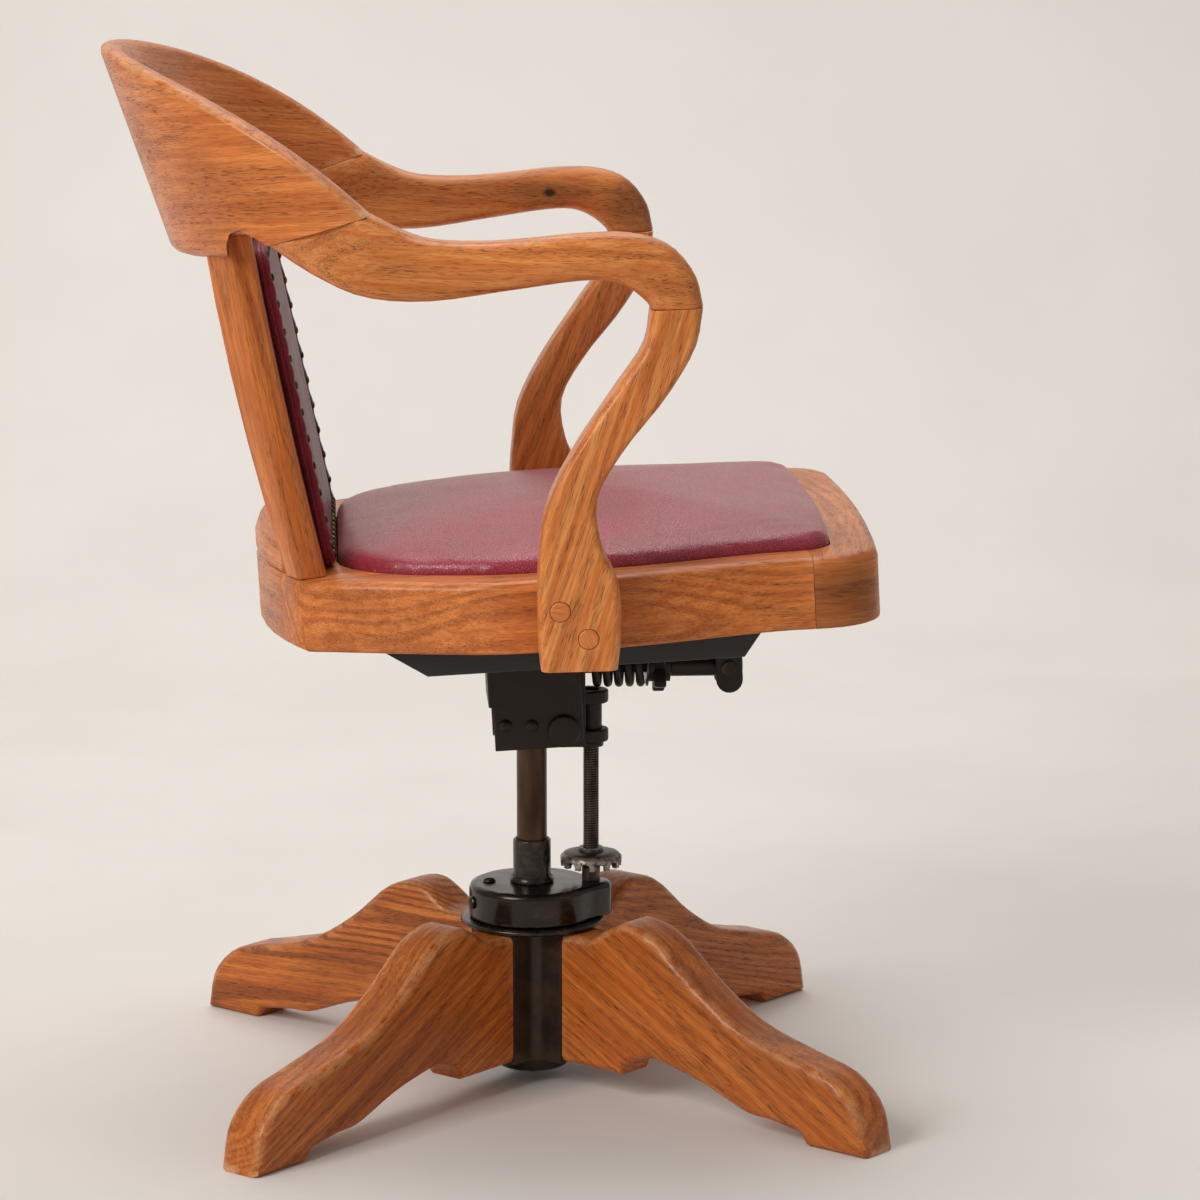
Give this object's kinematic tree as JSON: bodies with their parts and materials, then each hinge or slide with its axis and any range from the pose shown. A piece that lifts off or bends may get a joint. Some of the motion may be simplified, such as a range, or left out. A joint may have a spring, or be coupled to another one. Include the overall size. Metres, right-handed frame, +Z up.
{
  "type": "swivel captain's chair",
  "caption": "Oak swivel desk armchair with curved crest rail, scroll arms and leather pads; it turns, rises on a screw and tilts back against a coil spring.",
  "frame": {"origin": "on the floor, under the middle of the chair's bounding box", "axes": "+Z up, -Y towards the front of the seat, +X towards the sitter's left"},
  "size_m": [0.592, 0.627, 0.874],
  "materials": {
    "oak": "waxed golden oak",
    "oak_dark": "dark stained oak",
    "plywood": "bare board",
    "leather": "burgundy, soft sheen",
    "black_paint": "black paint",
    "iron": "black enamel",
    "iron_worn": "worn enamel",
    "steel": "bare, browned"
  },
  "bodies": {
    "base": {"leg_rear_left": "oak_dark", "leg_rear_right": "oak_dark", "leg_front_right": "oak_dark", "leg_front_left": "oak_dark", "leg_stud_rear_left": "steel", "leg_stud_rear_right": "steel", "leg_stud_front_right": "steel", "leg_stud_front_left": "steel", "hub_casting": "iron", "hub_flange": "iron", "thrust_washer": "steel", "base_plate": "iron", "base_plate_bolt": "steel"},
    "drum": {"drum_housing": "iron", "column_sleeve": "iron", "drum_rivet": "iron_worn", "drum_set_screw": "iron_worn"},
    "height_screw": {"height_screw": "steel", "handwheel": "iron"},
    "column": {"column_shaft": "steel", "column_head": "iron", "lift_nut": "iron"},
    "tension_rod": {"tension_rod": "iron", "tilt_spring": "iron"},
    "spring_washer": {"spring_washer": "steel"},
    "tension_nut": {"tension_nut": "iron"},
    "seat": {"rail_front": "oak", "rail_back": "oak", "rail_left": "oak", "rail_right": "oak", "back_block": "oak", "stile_left": "oak", "stile_right": "oak", "crest_rail": "oak", "arm_left": "oak", "arm_right": "oak", "arm_post_left": "oak", "arm_post_right": "oak", "post_plug_left_1": "oak", "post_plug_left_2": "oak", "post_plug_right_1": "oak", "post_plug_right_2": "oak", "seat_board": "plywood", "back_board": "plywood", "seat_pad": "leather", "back_pad": "leather", "bearer_board": "black_paint", "seat_iron": "iron", "rod_hanger": "iron", "cheek_rivet_rear_left": "iron_worn", "cheek_rivet_rear_right": "iron_worn", "cheek_rivet_front_left": "iron_worn", "cheek_rivet_front_right": "iron_worn", "tilt_pin": "steel", "hanger_pin": "steel"}
  },
  "joints": [
    {"name": "swivel", "type": "hinge", "parent": "base", "child": "drum", "pos_m": [0, -0.03473, 0.14], "axis": [0, 0, 1], "continuous": true},
    {"name": "screw_spin", "type": "hinge", "parent": "drum", "child": "height_screw", "pos_m": [0, -0.08453, 0.19], "axis": [0, 0, -1], "range_deg": [-5782, 1361]},
    {"name": "height", "type": "slide", "parent": "drum", "child": "column", "axis": [0, 0, 1], "range_m": [-0.034, 0.008]},
    {"name": "tilt", "type": "hinge", "parent": "column", "child": "seat", "pos_m": [0, -0.06013, 0.3054], "axis": [-1, 0, 0], "range_deg": [0, 12], "stiffness_Nm_per_rad": 90, "springref_deg": -11.46, "deforming": ["tilt_spring"]},
    {"name": "rod_swing", "type": "hinge", "parent": "seat", "child": "tension_rod", "pos_m": [0, -0.19923, 0.353], "axis": [-1, 0, 0], "range_deg": [0, 2]},
    {"name": "tension_travel", "type": "slide", "parent": "tension_rod", "child": "spring_washer", "axis": [0, 1, 0], "range_m": [0, 0.006], "deforming": ["tilt_spring"]},
    {"name": "tension_spin", "type": "hinge", "parent": "spring_washer", "child": "tension_nut", "pos_m": [0, -0.19923, 0.353], "axis": [0, 1, 0], "range_deg": [0, 1441]}
  ],
  "couplings": [
    {"joint": "screw_spin", "follows": "height", "rad_per_m": 2968},
    {"joint": "rod_swing", "follows": "tilt", "ratio": 0.1666},
    {"joint": "tension_spin", "follows": "tension_travel", "rad_per_m": 4188.8}
  ]
}
